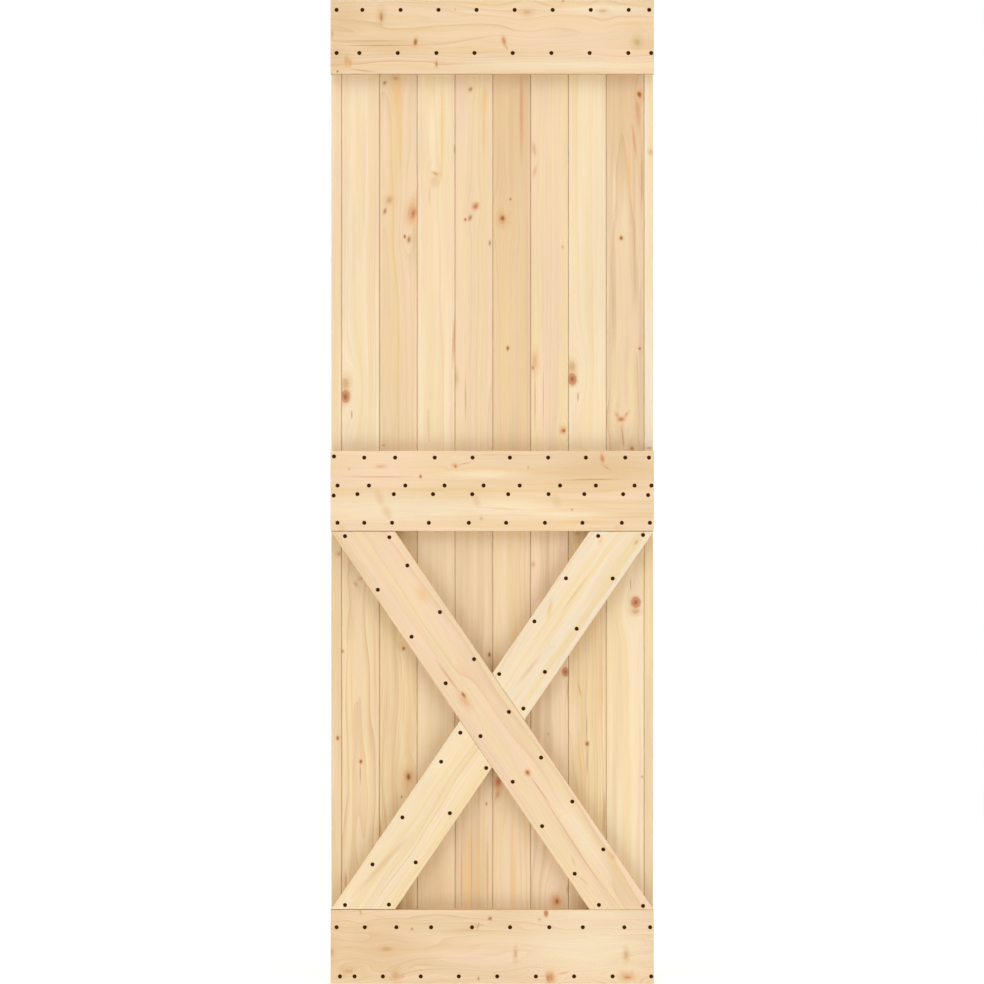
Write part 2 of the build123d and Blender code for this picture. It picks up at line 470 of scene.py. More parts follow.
@dataclass(frozen=True)
class GrainFrame:
    """A plank's own axes: X along the grain, Y across it in the face, Z out of the front.

    Attributes:
        middle: The plank's middle.
        slope: Angle of the grain above the horizontal, in degrees.
    """

    middle: Vector
    slope: float

    @property
    def turn(self) -> Matrix:
        """The rotation from the leaf's axes to the plank's."""
        along = math.radians(self.slope)
        return Matrix(
            (
                (math.cos(along), 0.0, math.sin(along)),
                (-math.sin(along), 0.0, math.cos(along)),
                (0.0, -1.0, 0.0),
            )
        )

    def local(self, point: Vector) -> Vector:
        """A point of the leaf in the plank's axes."""
        return self.turn @ (point - self.middle)

    def coordinates(self, graph: FinishGraph, place: Socket) -> Socket:
        """Adds the node that gives every point its place in the plank's axes.

        Args:
            graph: The finish's node tree.
            place: The object coordinates.

        Returns:
            The coordinates along, across and out of the plank, in metres.
        """
        sockets = {
            "Vector": place,
            "Location": self.turn @ -self.middle,
            "Rotation": self.turn.to_euler("XYZ"),
        }
        return graph.node("ShaderNodeMapping", {"vector_type": "POINT"}, sockets).outputs[0]


@dataclass(frozen=True)
class Streaks:
    """A layer of noise drawn out along the grain.

    Attributes:
        along: Length of a streak, in metres.
        across: Width of a streak, in metres.
        layer: Sets this layer's noise apart from the plank's others.
        detail: How many finer layers it holds.
        low: Value of the noise at which a streak begins to show.
        high: Value at which it shows in full.
        strength: How much of it shows then.
    """

    along: float
    across: float
    layer: float
    detail: float = 2.0
    low: float = 0.4
    high: float = 0.7
    strength: float = 1.0

    def noise(self, graph: NodeGraph, place: Socket, seed: int) -> Signal:
        """The noise itself.

        Args:
            graph: The finish's node tree.
            place: Coordinates in the plank's axes.
            seed: Picks the noise that only this plank has.

        Returns:
            The noise, about a mean of a half.
        """
        start = seed * SEED_STEP + Vector((self.layer, -self.layer, 0.0))
        scale = (1 / self.along, 1 / self.across, 1 / self.across)
        return graph.noise(graph.vector("MULTIPLY_ADD", place, scale, start), self.detail)

    def share(self, graph: NodeGraph, place: Socket, seed: int) -> Signal:
        """How much of the streaks shows, from 0 to their strength. It takes what noise takes."""
        return graph.fade(self.noise(graph, place, seed), self.low, self.high, self.strength)


@dataclass(frozen=True)
class PineFinish:
    """Planed, unfinished pine.

    Attributes:
        mark_depth: How deep a mark reaches into the plank, in metres.
        mark_ripple: Size of the unevenness of a mark's edge, in metres.
        mark_unevenness: Height of that unevenness, in sizes of the mark.
        knot_reach: How far beside a knot the grain is bent, in widths of the knot.
        knot_stretch: How many times further it is bent along the grain, for the knot's height.
        knot_push: How far the grain is pushed aside at a knot, from 0 to 1.
        bend: How the grain swings from side to side.
        wander: How the rings wander across the plank.
        wander_reach: How far they wander, in waves of the plank's cut.
        broad: The broad stripes of the plank's shade.
        warm: The stripes of its flush.
        thin: The thin stripes of its shade.
        clouds: The slow change of its brightness.
        fibre: The finest fibres.
        late_wood: The tint of the late wood of each ring.
        late_sharpness: How narrow the late wood of a ring is.
        edge: The tint of the sawn ends, which is their darker end grain, and of the narrow
        faces, where it is painted shade that lets the rails' and braces' edges throw less
        light into the corners beside them.
        edge_share: How much of that tint shows there, from 0 to 1.
        edge_rings: How dark the late wood shows there, from 0 to 1.
        edge_facing: How far towards the front or back a face leans where the tint of an edge
            begins to show, and where it shows in full: 1 is the planed face, 0 the edge.
        roughness: Roughness of the planed face.
        late_polish: How much smoother late wood is, as a share of that.
        fibre_nap: How much rougher the fibres are, as a share of that.
        refraction: Index of refraction of the wood.
        gloss: Strength of its reflections.
        relief: Height of the raised grain, in metres.
        relief_strength: How strongly that height shows.
        fibre_relief: Share of the fibres in it. Late wood has the rest.
    """

    mark_depth: float = 0.06
    mark_ripple: float = 0.004
    mark_unevenness: float = 0.5
    knot_reach: float = 2.6
    knot_stretch: float = 2.0
    knot_push: float = 0.75
    bend: Streaks = Streaks(0.16, 0.035, layer=3.0, detail=1.0)
    wander: Streaks = Streaks(0.7, 0.09, layer=9.0)
    wander_reach: float = 6.0
    broad: Streaks = Streaks(0.9, 0.020, layer=40.0, detail=3.0, low=0.44, high=0.6, strength=0.95)
    warm: Streaks = Streaks(0.5, 0.014, layer=61.0, low=0.46, high=0.6, strength=0.7)
    thin: Streaks = Streaks(0.3, 0.005, layer=83.0, low=0.48, high=0.72, strength=0.5)
    clouds: Streaks = Streaks(0.35, 0.05, layer=97.0, low=0.3, high=0.7, strength=0.05)
    fibre: Streaks = Streaks(
        0.06, 0.0018, layer=21.0, detail=3.0, low=0.2, high=0.8, strength=0.055
    )
    late_wood: Colour = srgb(216, 168, 118)
    late_sharpness: float = 3.0
    # Partly painted shade: besides the ends, the narrow faces take this dark tint, so that less
    # light bounces into the corners beside the rails and braces.
    edge: Colour = srgb(198, 171, 128)
    edge_share: float = 0.9
    edge_rings: float = 0.5
    edge_facing: tuple[float, float] = (0.6, 0.3)
    roughness: float = 0.56
    late_polish: float = 0.25
    fibre_nap: float = 0.12
    refraction: float = 1.45
    gloss: float = 0.35
    relief: float = 0.00025
    relief_strength: float = 0.6
    fibre_relief: float = 0.6

    def material(self, plank: Plank, grain: GrainFrame) -> Material:
        """Makes one plank's material.

        Args:
            plank: The plank.
            grain: Its own axes.

        Returns:
            The material.
        """
        graph = PineGraph(self, plank, grain)
        late = graph.late_wood_share()
        fibre = self.fibre.noise(graph, graph.place, plank.seed)
        colour = graph.blend(graph.ground(), self.late_wood, late * plank.cut.ring_share)
        colour = graph.shade(graph.lay_marks(colour), fibre)
        height = fibre * self.fibre_relief + late * (1 - self.fibre_relief)
        level = 1.0 - late * self.late_polish + fibre * self.fibre_nap
        sockets = {
            "Base Color": graph.lay_end_grain_and_painted_edge_shade(colour, late),
            "Roughness": level * self.roughness,
            "IOR": self.refraction,
            "Specular IOR Level": self.gloss,
        }
        return graph.close_with_relief(height, self.relief, self.relief_strength, sockets)


class PineGraph(FinishGraph):
    """The node tree of one plank of pine."""

    def __init__(self, finish: PineFinish, plank: Plank, grain: GrainFrame) -> None:
        """Starts the plank's material and lays its grain.

        Args:
            finish: The wood's finish.
            plank: The plank.
            grain: Its own axes.
        """
        super().__init__(f"pine_{plank.node}")
        self.finish = finish
        self.plank = plank
        self.grain = grain
        self.leaf_place = self.node("ShaderNodeTexCoord").outputs["Object"]
        self.place = self.bend_round_knots(grain.coordinates(self, self.leaf_place))

    def bend_round_knots(self, place: Socket) -> Socket:
        """Pushes the grain aside at each hard knot, and lets it wander a little everywhere.

        Args:
            place: Coordinates in the plank's axes.

        Returns:
            The coordinates that the grain follows.
        """
        finish = self.finish
        swing = finish.bend.noise(self, place, self.plank.seed) - 0.5
        shift = swing * (2 * self.plank.cut.wave)
        for mark in self.plank.marks:
            if mark.kind not in HARD_KNOTS:
                continue
            across = finish.knot_reach * mark.wide * PHOTO.pixel
            along = finish.knot_stretch * finish.knot_reach * mark.tall * PHOTO.pixel
            middle = self.grain.local(PHOTO.place(mark.x, mark.y))
            near = self.from_middle(place, middle, (along, across, finish.mark_depth))
            push = self.fade(self.length(near), 1.0, 0.0, finish.knot_push * across)
            shift = shift - self.axis(near, "Y") * push
        moved = self.node("ShaderNodeCombineXYZ", None, {"Y": shift}).outputs[0]
        return self.vector("ADD", place, moved)

    def late_wood_share(self) -> Signal:
        """The late wood of the year rings round the pith.

        Returns:
            How much late wood each point is, from 0 to 1.
        """
        cut = self.plank.cut
        pith = (0.0, -cut.pith_across, cut.pith_depth)
        off = self.vector("MULTIPLY_ADD", self.place, (0.0, 1.0, 1.0), pith)
        wander = self.finish.wander.noise(self, self.place, self.plank.seed)
        away = self.length(off) + self.axis(self.place, "X") * cut.taper
        away = away + wander * (self.finish.wander_reach * cut.wave)
        number = away * (1 / cut.ring_width)
        year = {"W": self.math("FLOOR", number) + self.plank.seed}
        chance = self.node("ShaderNodeTexWhiteNoise", {"noise_dimensions": "1D"}, year)
        late = self.math("FRACT", number) ** self.finish.late_sharpness
        return late * Signal(self, chance.outputs["Value"])

    def ground(self) -> Socket:
        """The plank's soft stripes in its three tints.

        Returns:
            The colour.
        """
        plank, finish = self.plank, self.finish
        colour = plank.ground.value
        for tint, stripes in (
            (plank.shade, finish.broad),
            (plank.flush, finish.warm),
            (plank.shade, finish.thin),
        ):
            colour = self.blend(colour, tint.value, stripes.share(self, self.place, plank.seed))
        return colour

    def lay_marks(self, colour: Socket) -> Socket:
        """Lays the plank's marks over a colour, kind by kind.

        Args:
            colour: The wood's colour.

        Returns:
            The colour with the marks in it.
        """
        ripple = self.noise(self.scaled(self.leaf_place, self.finish.mark_ripple))
        uneven = (ripple - 0.5) * self.finish.mark_unevenness
        for kind in MarkKind:
            far = [self.distance(mark) for mark in self.plank.marks if mark.kind is kind]
            if not far:
                continue
            nearest = reduce(lambda one, two: self.math("MINIMUM", one, two), far) + uneven
            for band in kind.value:
                share = self.fade(nearest, band.outer, band.inner, band.strength)
                colour = self.blend(colour, band.colour, share)
        return colour

    def distance(self, mark: Mark) -> Signal:
        """The distance from a mark's middle, in units of its half size.

        Args:
            mark: The mark.

        Returns:
            The distance.
        """
        half = PHOTO.pixel / 2
        size = (mark.wide * half, self.finish.mark_depth, mark.tall * half)
        middle = PHOTO.place(mark.x, mark.y)
        return self.length(self.from_middle(self.leaf_place, middle, size, mark.turn))

    def shade(self, colour: Socket, fibre: Signal) -> Socket:
        """Darkens a colour a little along the fibres and in soft clouds.

        Args:
            colour: The wood's colour.
            fibre: The finest fibres.

        Returns:
            The colour.
        """
        clouds, fine = self.finish.clouds, self.finish.fibre
        mean = (clouds.strength + fine.strength) / 2
        lines = self.fade(fibre, fine.low, fine.high, fine.strength)
        level = 1.0 + mean - clouds.share(self, self.place, self.plank.seed) - lines
        grey = self.node("ShaderNodeCombineColor", None, {0: level, 1: level, 2: level})
        return self.blend(colour, grey.outputs[0], 1.0, "MULTIPLY")

    def lay_end_grain_and_painted_edge_shade(self, colour: Socket, late: Signal) -> Socket:
        """Darkens the sawn ends and the narrow faces, and draws their rings. On the ends this is
        their end grain; on the narrow faces it is painted shade, which deepens the shade in the
        corners beside the rails and braces.

        Args:
            colour: The colour of the planed faces.
            late: The rings' late wood.

        Returns:
            The colour.
        """
        finish = self.finish
        normal = self.node("ShaderNodeTexCoord").outputs["Normal"]
        facing = self.math("ABSOLUTE", self.axis(normal, "Y"))
        # Painted shade on the narrow faces, darker end grain on the ends.
        cut = self.fade(facing, *finish.edge_facing, finish.edge_share)
        end_grain_and_edge_shade = self.blend(finish.edge, finish.late_wood, late * finish.edge_rings)
        return self.blend(colour, end_grain_and_edge_shade, cut)


@dataclass(frozen=True)
class DarkOxideFinish:
    """The near-black brown oxide of the screws.

    Attributes:
        dark: Colour of the oxide.
        worn: Colour where the driver has rubbed it.
        grain: Size of its unevenness, in metres.
        detail: How many finer layers that has.
        rubbed: Value of the unevenness where it begins to be rubbed, and where it is in full.
        rubbed_share: How much of the worn colour shows then.
        roughness: Its roughness at the mean of the unevenness.
        roughness_range: How far the roughness runs from the least to the most.
        relief: Height of its unevenness, in metres.
        relief_strength: How strongly that height shows.
    """

    dark: Colour = srgb(66, 38, 9)
    worn: Colour = srgb(110, 74, 34)
    grain: float = 0.0009
    detail: float = 3.0
    rubbed: tuple[float, float] = (0.45, 0.8)
    rubbed_share: float = 0.6
    roughness: float = 0.45
    roughness_range: float = 0.3
    relief: float = 0.0001
    relief_strength: float = 0.4

    def material(self) -> Material:
        """Makes the screws' material.

        Returns:
            The material.
        """
        graph = FinishGraph("dark_oxide")
        place = graph.node("ShaderNodeTexCoord").outputs["Object"]
        uneven = graph.noise(graph.scaled(place, self.grain), self.detail)
        worn = graph.fade(uneven, *self.rubbed, self.rubbed_share)
        lowest = self.roughness - self.roughness_range / 2
        sockets = {
            "Base Color": graph.blend(self.dark, self.worn, worn),
            "Roughness": uneven * self.roughness_range + lowest,
            "Metallic": 1.0,
        }
        return graph.close_with_relief(uneven, self.relief, self.relief_strength, sockets)


def dress(node: str, material: Material) -> None:
    """Gives a CAD node its material, and reports it.

    Args:
        node: The node's name.
        material: The material for all its slots.
    """
    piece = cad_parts[node]
    for slot in piece.material_slots:
        slot.material = material
    LOG.info("%s: %s", node, material.name)


@dataclass
class PlankSet:
    """Planks of the leaf that share the direction of their grain.

    Attributes:
        slope: Angle of the grain above the horizontal, in degrees.
        planks: The planks.
        finish: The wood's finish.
    """

    slope: float
    planks: tuple[Plank, ...]
    finish: PineFinish = PineFinish()

    def dress(self) -> None:
        """Gives every plank its own material."""
        for plank in self.planks:
            low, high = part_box(plank.node)
            grain = GrainFrame((low + high) / 2, self.slope)
            dress(plank.node, self.finish.material(plank, grain))


K = MarkKind
T = PineTone

UPPER_BOARDS = (
    Plank("upper_left_strip", T.STRAW, T.PEACH, T.CREAM, 1),
    Plank("upper_board_1", T.CREAM, T.STRAW, T.PEACH, 2, LogCut(0.12, 0.03), (
        K.RED_KNOT.at(x=344.6, y=395.8, wide=9, tall=13),
        K.TAN_KNOT.at(x=344.6, y=383, wide=11, tall=17),
        K.BROWN_LINE.at(x=351, y=414, wide=1.6, tall=9),
        K.PINK_STRIPE.at(x=353, y=235, wide=5, tall=90),
        K.STRAW_STRIPE.at(x=358, y=160, wide=9, tall=190),
        K.STRAW_STRIPE.at(x=357, y=340, wide=8, tall=150),
    )),
    Plank("upper_board_2", T.SAND, T.HONEY, T.PEACH, 3, LogCut(0.03, 0.045, 0.005, 0.006), (
        K.DARK_KNOT.at(x=384, y=81.5, wide=3, tall=4.5, turn=-30),
        K.TAN_KNOT.at(x=395, y=77, wide=8, tall=5),
        K.PINK_STRIPE.at(x=384, y=125, wide=7, tall=90),
        K.ORANGE_STRIPE.at(x=397, y=95, wide=12, tall=46),
        K.ORANGE_STRIPE.at(x=399, y=130, wide=6, tall=90),
        K.TAN_KNOT.at(x=388.6, y=199, wide=9, tall=11, turn=-30),
        K.DARK_KNOT.at(x=384.2, y=210, wide=3.4, tall=6, turn=-20),
        K.TAN_KNOT.at(x=411, y=211, wide=12, tall=24, turn=-10),
        K.ROSE_KNOT.at(x=412.8, y=212.5, wide=7, tall=14, turn=-12),
        K.ORANGE_STRIPE.at(x=411.5, y=209, wide=9, tall=38, turn=-8),
        K.BROWN_KNOT.at(x=404, y=235.5, wide=2.2, tall=4),
        K.DARK_KNOT.at(x=408.3, y=238.5, wide=3.6, tall=7, turn=-10),
        K.TAN_STRIPE.at(x=414, y=235, wide=5, tall=70),
        K.TAN_KNOT.at(x=383, y=444.6, wide=5, tall=2.4),
    )),
    Plank("upper_board_3", T.CREAM, T.STRAW, T.PEACH, 4, LogCut(0.02, 0.05, 0.0045, 0.006), (
        K.CREAM_STRIPE.at(x=432, y=132, wide=9, tall=80),
        K.PINK_STRIPE.at(x=424, y=125, wide=6, tall=80),
        K.ORANGE_STRIPE.at(x=441.5, y=130, wide=3, tall=110),
        K.TAN_KNOT.at(x=435, y=172.5, wide=9, tall=4, turn=-20),
        K.TAN_STRIPE.at(x=434, y=180, wide=11, tall=16),
        K.TAN_STRIPE.at(x=429, y=195, wide=2, tall=24),
        K.BROWN_LINE.at(x=454, y=148, wide=1.6, tall=10),
        K.RED_STREAK.at(x=453, y=341, wide=3, tall=50, turn=-2),
    )),
    Plank("upper_board_4", T.PEACH, T.SAND, T.STRAW, 5, LogCut(-0.04, 0.04, 0.005), (
        K.DARK_KNOT.at(x=470, y=88, wide=3.4, tall=4.5, turn=-20),
        K.ORANGE_STRIPE.at(x=483.5, y=101, wide=8, tall=36, turn=-5),
        K.ORANGE_STRIPE.at(x=483, y=130, wide=4, tall=60),
        K.PINK_STRIPE.at(x=466, y=130, wide=8, tall=80),
        K.ROSE_KNOT.at(x=475, y=205.2, wide=6.4, tall=8, turn=-30),
        K.DARK_KNOT.at(x=469.6, y=216.8, wide=3.4, tall=6, turn=-20),
        K.BROWN_KNOT.at(x=464.8, y=218.5, wide=2.2, tall=3),
        K.DARK_KNOT.at(x=489.4, y=242, wide=2.2, tall=5),
        K.PINK_KNOT.at(x=455, y=377, wide=6, tall=16),
        K.BROWN_LINE.at(x=453.2, y=371.5, wide=1.5, tall=9, turn=-28),
        K.RED_STREAK.at(x=465, y=398, wide=2, tall=46),
        K.PINK_STRIPE.at(x=462, y=396, wide=10, tall=90),
    )),
    Plank("upper_board_5", T.HONEY, T.WHEAT, T.ROSE, 6,
          LogCut(0.1, 0.03, 0.0045, 0.004, 0.003, 0.5), (
        K.TAN_STRIPE.at(x=522, y=110, wide=22, tall=170),
        K.TAN_STRIPE.at(x=511, y=130, wide=9, tall=190),
        K.TAN_STRIPE.at(x=499, y=135, wide=18, tall=220),
        K.RED_STREAK.at(x=521, y=112, wide=4, tall=90),
        K.DARK_KNOT.at(x=510, y=198, wide=2, tall=3.2),
        K.TAN_KNOT.at(x=502, y=218, wide=11, tall=15),
        K.BROWN_KNOT.at(x=502, y=217.2, wide=4.8, tall=6),
        K.ORANGE_STRIPE.at(x=502, y=218.5, wide=11, tall=19),
        K.BROWN_KNOT.at(x=507.3, y=347.5, wide=3, tall=4.4),
    )),
    Plank("upper_board_6", T.SAND, T.STRAW, T.PEACH, 7, LogCut(0.05, 0.05), (
        K.PINK_KNOT.at(x=533.6, y=148, wide=5, tall=14, turn=10),
        K.PINK_KNOT.at(x=534.5, y=170, wide=4, tall=12, turn=-15),
        K.TAN_KNOT.at(x=562.3, y=246, wide=2.6, tall=3.4),
        K.PINK_KNOT.at(x=534.5, y=361, wide=8, tall=24),
        K.DARK_KNOT.at(x=532.4, y=367, wide=2.2, tall=4),
        K.ROSE_KNOT.at(x=562.6, y=430, wide=5.4, tall=6),
        K.BROWN_KNOT.at(x=563.6, y=430, wide=2.6, tall=3.4),
        K.TAN_STRIPE.at(x=563, y=428, wide=12, tall=12),
        K.RED_STREAK.at(x=534.6, y=398, wide=1.6, tall=60),
        K.RED_STREAK.at(x=543, y=396, wide=1.2, tall=70),
        K.PINK_STRIPE.at(x=540, y=390, wide=12, tall=110),
        K.PINK_STRIPE.at(x=549, y=125, wide=8, tall=70),
    )),
    Plank("upper_board_7", T.CREAM, T.STRAW, T.CREAM, 8, LogCut(0.14, 0.03), (
        K.RED_KNOT.at(x=572, y=378.4, wide=8.6, tall=12),
        K.TAN_KNOT.at(x=572, y=366, wide=10, tall=15),
        K.BROWN_LINE.at(x=577.6, y=396, wide=1.6, tall=10),
        K.PINK_STRIPE.at(x=575, y=440, wide=9, tall=70),
    )),
    Plank("upper_board_8", T.SAND, T.FAWN, T.SAND, 9,
          LogCut(0.005, 0.035, 0.0055, 0.02, 0.005, 0.85), (
        K.TAN_STRIPE.at(x=624, y=110, wide=48, tall=170),
        K.TAN_STRIPE.at(x=641, y=150, wide=8, tall=190),
        K.CREAM_STRIPE.at(x=614, y=190, wide=4, tall=80),
        K.ORANGE_STRIPE.at(x=629, y=172, wide=5, tall=60),
        K.ROSE_KNOT.at(x=639, y=93.5, wide=5.4, tall=8, turn=15),
        K.BROWN_KNOT.at(x=639.2, y=93, wide=4.4, tall=6.4, turn=15),
        K.RED_STREAK.at(x=637.8, y=111, wide=6, tall=34, turn=4),
        K.RED_STREAK.at(x=634, y=140, wide=3, tall=36, turn=8),
        K.BROWN_LINE.at(x=641.6, y=178, wide=1.6, tall=66),
        K.BROWN_KNOT.at(x=621, y=237, wide=3.6, tall=4.4),
        K.STRAW_STRIPE.at(x=624, y=218, wide=8, tall=34),
        K.STRAW_STRIPE.at(x=613, y=385, wide=9, tall=130),
        K.STRAW_STRIPE.at(x=632, y=395, wide=11, tall=110),
        K.BROWN_KNOT.at(x=639.6, y=347.8, wide=2.2, tall=3),
        K.PINK_STRIPE.at(x=635, y=330, wide=8, tall=80),
        K.TAN_KNOT.at(x=617, y=414.6, wide=4, tall=9, turn=35),
        K.TAN_KNOT.at(x=626, y=414, wide=3.6, tall=9, turn=-35),
        K.ROSE_KNOT.at(x=620.6, y=418.6, wide=8, tall=5.4),
        K.TAN_STRIPE.at(x=622, y=432, wide=6, tall=36),
        K.BROWN_LINE.at(x=622.4, y=436, wide=1.6, tall=24, turn=6),
        K.DARK_KNOT.at(x=631.8, y=448, wide=4, tall=4.6),
    )),
    Plank("upper_right_strip", T.IVORY, T.CREAM, T.STRAW, 10, LogCut(), (
        K.PINK_KNOT.at(x=650.7, y=151, wide=6, tall=7),
        K.TAN_KNOT.at(x=649, y=447.5, wide=7, tall=3),
    )),
)

LOWER_BOARDS = (
    Plank("lower_left_strip", T.HONEY, T.WHEAT, T.PEACH, 11, LogCut(), (
        K.TAN_KNOT.at(x=338, y=553.5, wide=6, tall=5),
        K.BROWN_KNOT.at(x=337, y=738, wide=3, tall=4.6),
    )),
    Plank("lower_board_1", T.SAND, T.WHEAT, T.STRAW, 12,
          LogCut(0.01, 0.04, 0.0055, 0.012, 0.007, 0.8), (
        K.TAN_KNOT.at(x=360.7, y=578, wide=7, tall=3.4, turn=20),
        K.TAN_KNOT.at(x=355, y=584, wide=4, tall=6, turn=30),
        K.DARK_KNOT.at(x=342, y=651, wide=2.2, tall=3.6),
        K.BROWN_KNOT.at(x=360.2, y=761.6, wide=3.4, tall=4.2),
        K.ORANGE_STRIPE.at(x=361, y=750, wide=4, tall=30),
        K.BROWN_LINE.at(x=359.5, y=774, wide=1.2, tall=20),
        K.ORANGE_STRIPE.at(x=374, y=660, wide=3, tall=150),
        K.ORANGE_STRIPE.at(x=351, y=700, wide=2.4, tall=120, turn=1),
        K.RED_STREAK.at(x=345, y=883, wide=3, tall=22),
    )),
    Plank("lower_board_2", T.WHEAT, T.TAN, T.STRAW, 13,
          LogCut(0.1, 0.03, 0.005, 0.006, 0.005, 0.5), (
        K.TAN_STRIPE.at(x=401, y=647, wide=13, tall=12),
        K.BROWN_KNOT.at(x=403, y=648.3, wide=3, tall=3.6),
        K.TAN_KNOT.at(x=407.4, y=776, wide=13, tall=18),
        K.BROWN_KNOT.at(x=407.8, y=777, wide=4.6, tall=7.6),
        K.ORANGE_STRIPE.at(x=407, y=776, wide=10, tall=26),
        K.DARK_KNOT.at(x=401, y=797, wide=1.8, tall=2.6),
        K.RED_STREAK.at(x=380, y=833, wide=2.4, tall=26),
        K.STRAW_STRIPE.at(x=403, y=680, wide=5, tall=46),
        K.TAN_STRIPE.at(x=409, y=736, wide=12, tall=120),
        K.ORANGE_STRIPE.at(x=403, y=700, wide=3, tall=80),
    )),
    Plank("lower_board_3", T.SAND, T.WHEAT, T.SAND, 14, LogCut(0.03, 0.05), (
        # Painted shade: darkens the board just above the bottom rail.
        K.TAN_STRIPE.at(x=436, y=886, wide=40, tall=90),
    )),
    Plank("lower_board_4", T.SAND, T.FAWN, T.WHEAT, 15, LogCut(0.13, 0.02), (
        K.BROWN_KNOT.at(x=489, y=654.5, wide=3, tall=5),
        # Darker towards the bottom rail: partly the board's own tan, partly painted shade.
        K.TAN_STRIPE.at(x=474, y=878, wide=50, tall=130),
        K.ORANGE_STRIPE.at(x=478, y=868, wide=5, tall=90),
        K.ORANGE_STRIPE.at(x=467, y=878, wide=8, tall=100),
        K.DARK_KNOT.at(x=486, y=804, wide=1.8, tall=4),
        K.RED_STREAK.at(x=461, y=876, wide=2, tall=90),
        K.RED_STREAK.at(x=471, y=866, wide=1.6, tall=100),
        K.RED_STREAK.at(x=487, y=874, wide=2, tall=84),
    )),
    Plank("lower_board_5", T.SAND, T.HONEY, T.PEACH, 16,
          LogCut(0.02, 0.05, 0.006, 0.006, 0.004, 0.5), (
        K.ROSE_KNOT.at(x=497.8, y=782, wide=8, tall=14, turn=-10),
        K.BROWN_LINE.at(x=495.4, y=784, wide=1.4, tall=9, turn=-14),
        K.TAN_KNOT.at(x=497.5, y=794, wide=6, tall=13, turn=-10),
        K.RED_STREAK.at(x=496, y=796, wide=3, tall=16, turn=-12),
        K.ORANGE_STRIPE.at(x=512.5, y=880, wide=7, tall=80),
        K.ORANGE_STRIPE.at(x=511.5, y=850, wide=3, tall=90),
    )),
    Plank("lower_board_6", T.SAND, T.FAWN, T.PEACH, 17, LogCut(0.09, 0.03, 0.005), (
        K.TAN_KNOT.at(x=532.8, y=564, wide=4, tall=6),
        K.RED_KNOT.at(x=565.2, y=671.8, wide=7.2, tall=9, turn=15),
        K.BROWN_LINE.at(x=567.6, y=688, wide=1.6, tall=26, turn=-3),
        K.ROSE_KNOT.at(x=556.6, y=901, wide=9, tall=11, turn=8),
        K.TAN_KNOT.at(x=556, y=902, wide=13, tall=16),
        K.BROWN_KNOT.at(x=556.6, y=901.6, wide=3.6, tall=5.6, turn=10),
        K.TAN_KNOT.at(x=548, y=734, wide=3, tall=6),
        K.RED_STREAK.at(x=567.6, y=888, wide=3, tall=13, turn=-10),
    )),
    Plank("lower_board_7", T.HONEY, T.WHEAT, T.STRAW, 18,
          LogCut(0.04, 0.035, 0.005, 0.01, 0.005, 0.7), (
        K.TAN_KNOT.at(x=577, y=533, wide=6, tall=4),
        K.PINK_STRIPE.at(x=575, y=722, wide=8, tall=60),
        K.BROWN_KNOT.at(x=586.8, y=743.8, wide=3.6, tall=4.8),
        K.ORANGE_STRIPE.at(x=580, y=760, wide=3, tall=30, turn=8),
        K.BROWN_LINE.at(x=586.8, y=762, wide=1.1, tall=26),
        K.BROWN_LINE.at(x=586.4, y=726, wide=1, tall=22),
        K.RED_STREAK.at(x=604, y=815, wide=3, tall=50),
        K.RED_STREAK.at(x=579.5, y=690, wide=2, tall=16, turn=12),
        K.TAN_STRIPE.at(x=600, y=680, wide=5, tall=110),
    )),
    Plank("lower_board_8", T.CREAM, T.STRAW, T.SAND, 19, LogCut(0.12, 0.03, ring_share=0.2), (
        K.RED_KNOT.at(x=635.6, y=602, wide=9.6, tall=11),
        K.TAN_KNOT.at(x=635.6, y=611, wide=11, tall=8),
        K.BROWN_LINE.at(x=630.4, y=584, wide=1.3, tall=12),
        K.TAN_KNOT.at(x=641.8, y=777, wide=3, tall=3),
    )),
    Plank("lower_right_strip", T.SAND, T.HONEY, T.STRAW, 20),
)

